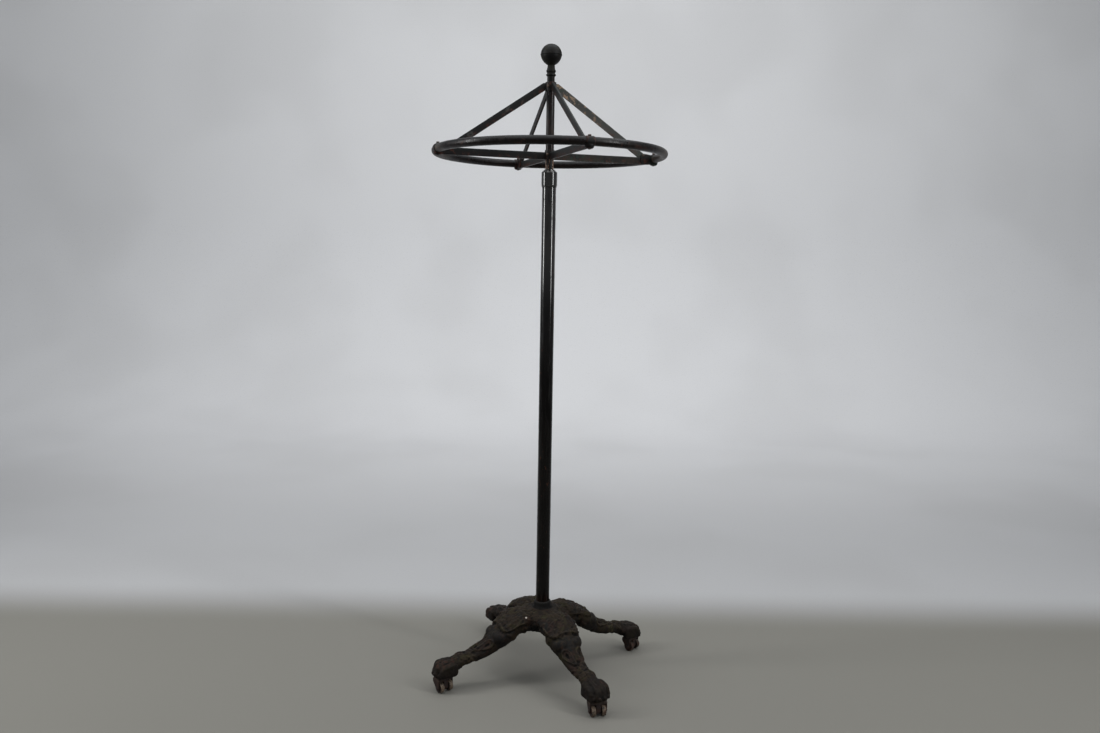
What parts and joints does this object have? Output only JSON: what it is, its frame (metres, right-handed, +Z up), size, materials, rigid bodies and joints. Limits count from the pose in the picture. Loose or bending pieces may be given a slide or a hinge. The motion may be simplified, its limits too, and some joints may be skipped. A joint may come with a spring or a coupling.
{
  "type": "standing coat rack",
  "caption": "Standing coat rack: a hanging ring on braced arms turns at the top of a slim pole with a ball finial, on a cast-iron base with lion-paw legs and small casters.",
  "frame": {"origin": "on the floor, on the pole's axis", "axes": "+Z up along the pole; +Y away from the viewer, +X to the viewer's right"},
  "size_m": [0.6313, 0.6313, 1.7368],
  "materials": {
    "cast_iron": "worn dark brown cast iron with rust tints",
    "black_paint": "gloss black paint",
    "worn_bar": "black paint worn to brown metal",
    "worn_rail": "dark paint worn through in places",
    "bare_steel": "dull bare steel",
    "rusty_iron": "rusty iron",
    "worn_wheel": "dark iron wheel with a worn bare tread"
  },
  "bodies": {
    "base_frame": {"base_casting": "cast_iron", "pole": "black_paint", "pole_washer": "rusty_iron", "pole_lock_nut": "rusty_iron", "pole_ferrule": "black_paint", "stem_bearing": "bare_steel", "caster_1_plate": "rusty_iron", "caster_2_plate": "rusty_iron", "caster_3_plate": "rusty_iron", "caster_4_plate": "rusty_iron", "caster_1_pin": "rusty_iron", "caster_2_pin": "rusty_iron", "caster_3_pin": "rusty_iron", "caster_4_pin": "rusty_iron"},
    "ring_head": {"stem": "worn_rail", "lower_hub": "worn_bar", "upper_collar": "worn_bar", "lower_hub_screw": "bare_steel", "upper_collar_screw": "bare_steel", "rail_ring": "worn_rail", "rail_splice": "rusty_iron", "arm_1": "worn_bar", "arm_2": "worn_bar", "arm_3": "worn_bar", "arm_4": "worn_bar", "brace_1": "worn_bar", "brace_2": "worn_bar", "brace_3": "worn_bar", "brace_4": "worn_bar", "rail_clamp_1": "worn_rail", "rail_clamp_2": "worn_rail", "rail_clamp_3": "worn_rail", "rail_clamp_4": "worn_rail", "rail_bolt_1": "worn_bar", "rail_bolt_2": "worn_bar", "rail_bolt_3": "worn_bar", "rail_bolt_4": "worn_bar", "brace_rivet_1": "worn_bar", "brace_rivet_2": "worn_bar", "brace_rivet_3": "worn_bar", "brace_rivet_4": "worn_bar", "finial_neck": "black_paint", "ball_upper_shell": "black_paint", "ball_lower_shell": "black_paint"},
    "caster_1": {"caster_1_yoke": "rusty_iron", "caster_1_axle": "rusty_iron"},
    "caster_1_left": {"caster_1_wheel_left": "worn_wheel"},
    "caster_1_right": {"caster_1_wheel_right": "worn_wheel"},
    "caster_2": {"caster_2_yoke": "rusty_iron", "caster_2_axle": "rusty_iron"},
    "caster_2_left": {"caster_2_wheel_left": "worn_wheel"},
    "caster_2_right": {"caster_2_wheel_right": "worn_wheel"},
    "caster_3": {"caster_3_yoke": "rusty_iron", "caster_3_axle": "rusty_iron"},
    "caster_3_left": {"caster_3_wheel_left": "worn_wheel"},
    "caster_3_right": {"caster_3_wheel_right": "worn_wheel"},
    "caster_4": {"caster_4_yoke": "rusty_iron", "caster_4_axle": "rusty_iron"},
    "caster_4_left": {"caster_4_wheel_left": "worn_wheel"},
    "caster_4_right": {"caster_4_wheel_right": "worn_wheel"}
  },
  "joints": [
    {"name": "ring_spin", "type": "hinge", "parent": "base_frame", "child": "ring_head", "pos_m": [0, 0, 1.236], "axis": [0, 0, 1], "continuous": true},
    {"name": "caster_1_swivel", "type": "hinge", "parent": "base_frame", "child": "caster_1", "pos_m": [0.26716, 0.14506, 0.041], "axis": [0, 0, 1], "continuous": true},
    {"name": "caster_1_left_roll", "type": "hinge", "parent": "caster_1", "child": "caster_1_left", "pos_m": [0.28152, 0.15128, 0.015], "axis": [0.6428, 0.766, 0], "continuous": true},
    {"name": "caster_1_right_roll", "type": "hinge", "parent": "caster_1", "child": "caster_1_right", "pos_m": [0.26352, 0.12983, 0.015], "axis": [0.6428, 0.766, 0], "continuous": true},
    {"name": "caster_2_swivel", "type": "hinge", "parent": "base_frame", "child": "caster_2", "pos_m": [-0.14506, 0.26716, 0.041], "axis": [0, 0, 1], "continuous": true},
    {"name": "caster_2_left_roll", "type": "hinge", "parent": "caster_2", "child": "caster_2_left", "pos_m": [-0.14327, 0.28271, 0.015], "axis": [-0.342, 0.9397, 0], "continuous": true},
    {"name": "caster_2_right_roll", "type": "hinge", "parent": "caster_2", "child": "caster_2_right", "pos_m": [-0.13369, 0.2564, 0.015], "axis": [-0.342, 0.9397, 0], "continuous": true},
    {"name": "caster_3_swivel", "type": "hinge", "parent": "base_frame", "child": "caster_3", "pos_m": [-0.26716, -0.14506, 0.041], "axis": [0, 0, 1], "continuous": true},
    {"name": "caster_3_left_roll", "type": "hinge", "parent": "caster_3", "child": "caster_3_left", "pos_m": [-0.25207, -0.14089, 0.015], "axis": [0.7431, 0.6691, 0], "continuous": true},
    {"name": "caster_3_right_roll", "type": "hinge", "parent": "caster_3", "child": "caster_3_right", "pos_m": [-0.27288, -0.15963, 0.015], "axis": [0.7431, 0.6691, 0], "continuous": true},
    {"name": "caster_4_swivel", "type": "hinge", "parent": "base_frame", "child": "caster_4", "pos_m": [0.14506, -0.26716, 0.041], "axis": [0, 0, 1], "continuous": true},
    {"name": "caster_4_left_roll", "type": "hinge", "parent": "caster_4", "child": "caster_4_left", "pos_m": [0.16044, -0.27003, 0.015], "axis": [0.9613, 0.2756, 0], "continuous": true},
    {"name": "caster_4_right_roll", "type": "hinge", "parent": "caster_4", "child": "caster_4_right", "pos_m": [0.13353, -0.27775, 0.015], "axis": [0.9613, 0.2756, 0], "continuous": true}
  ]
}
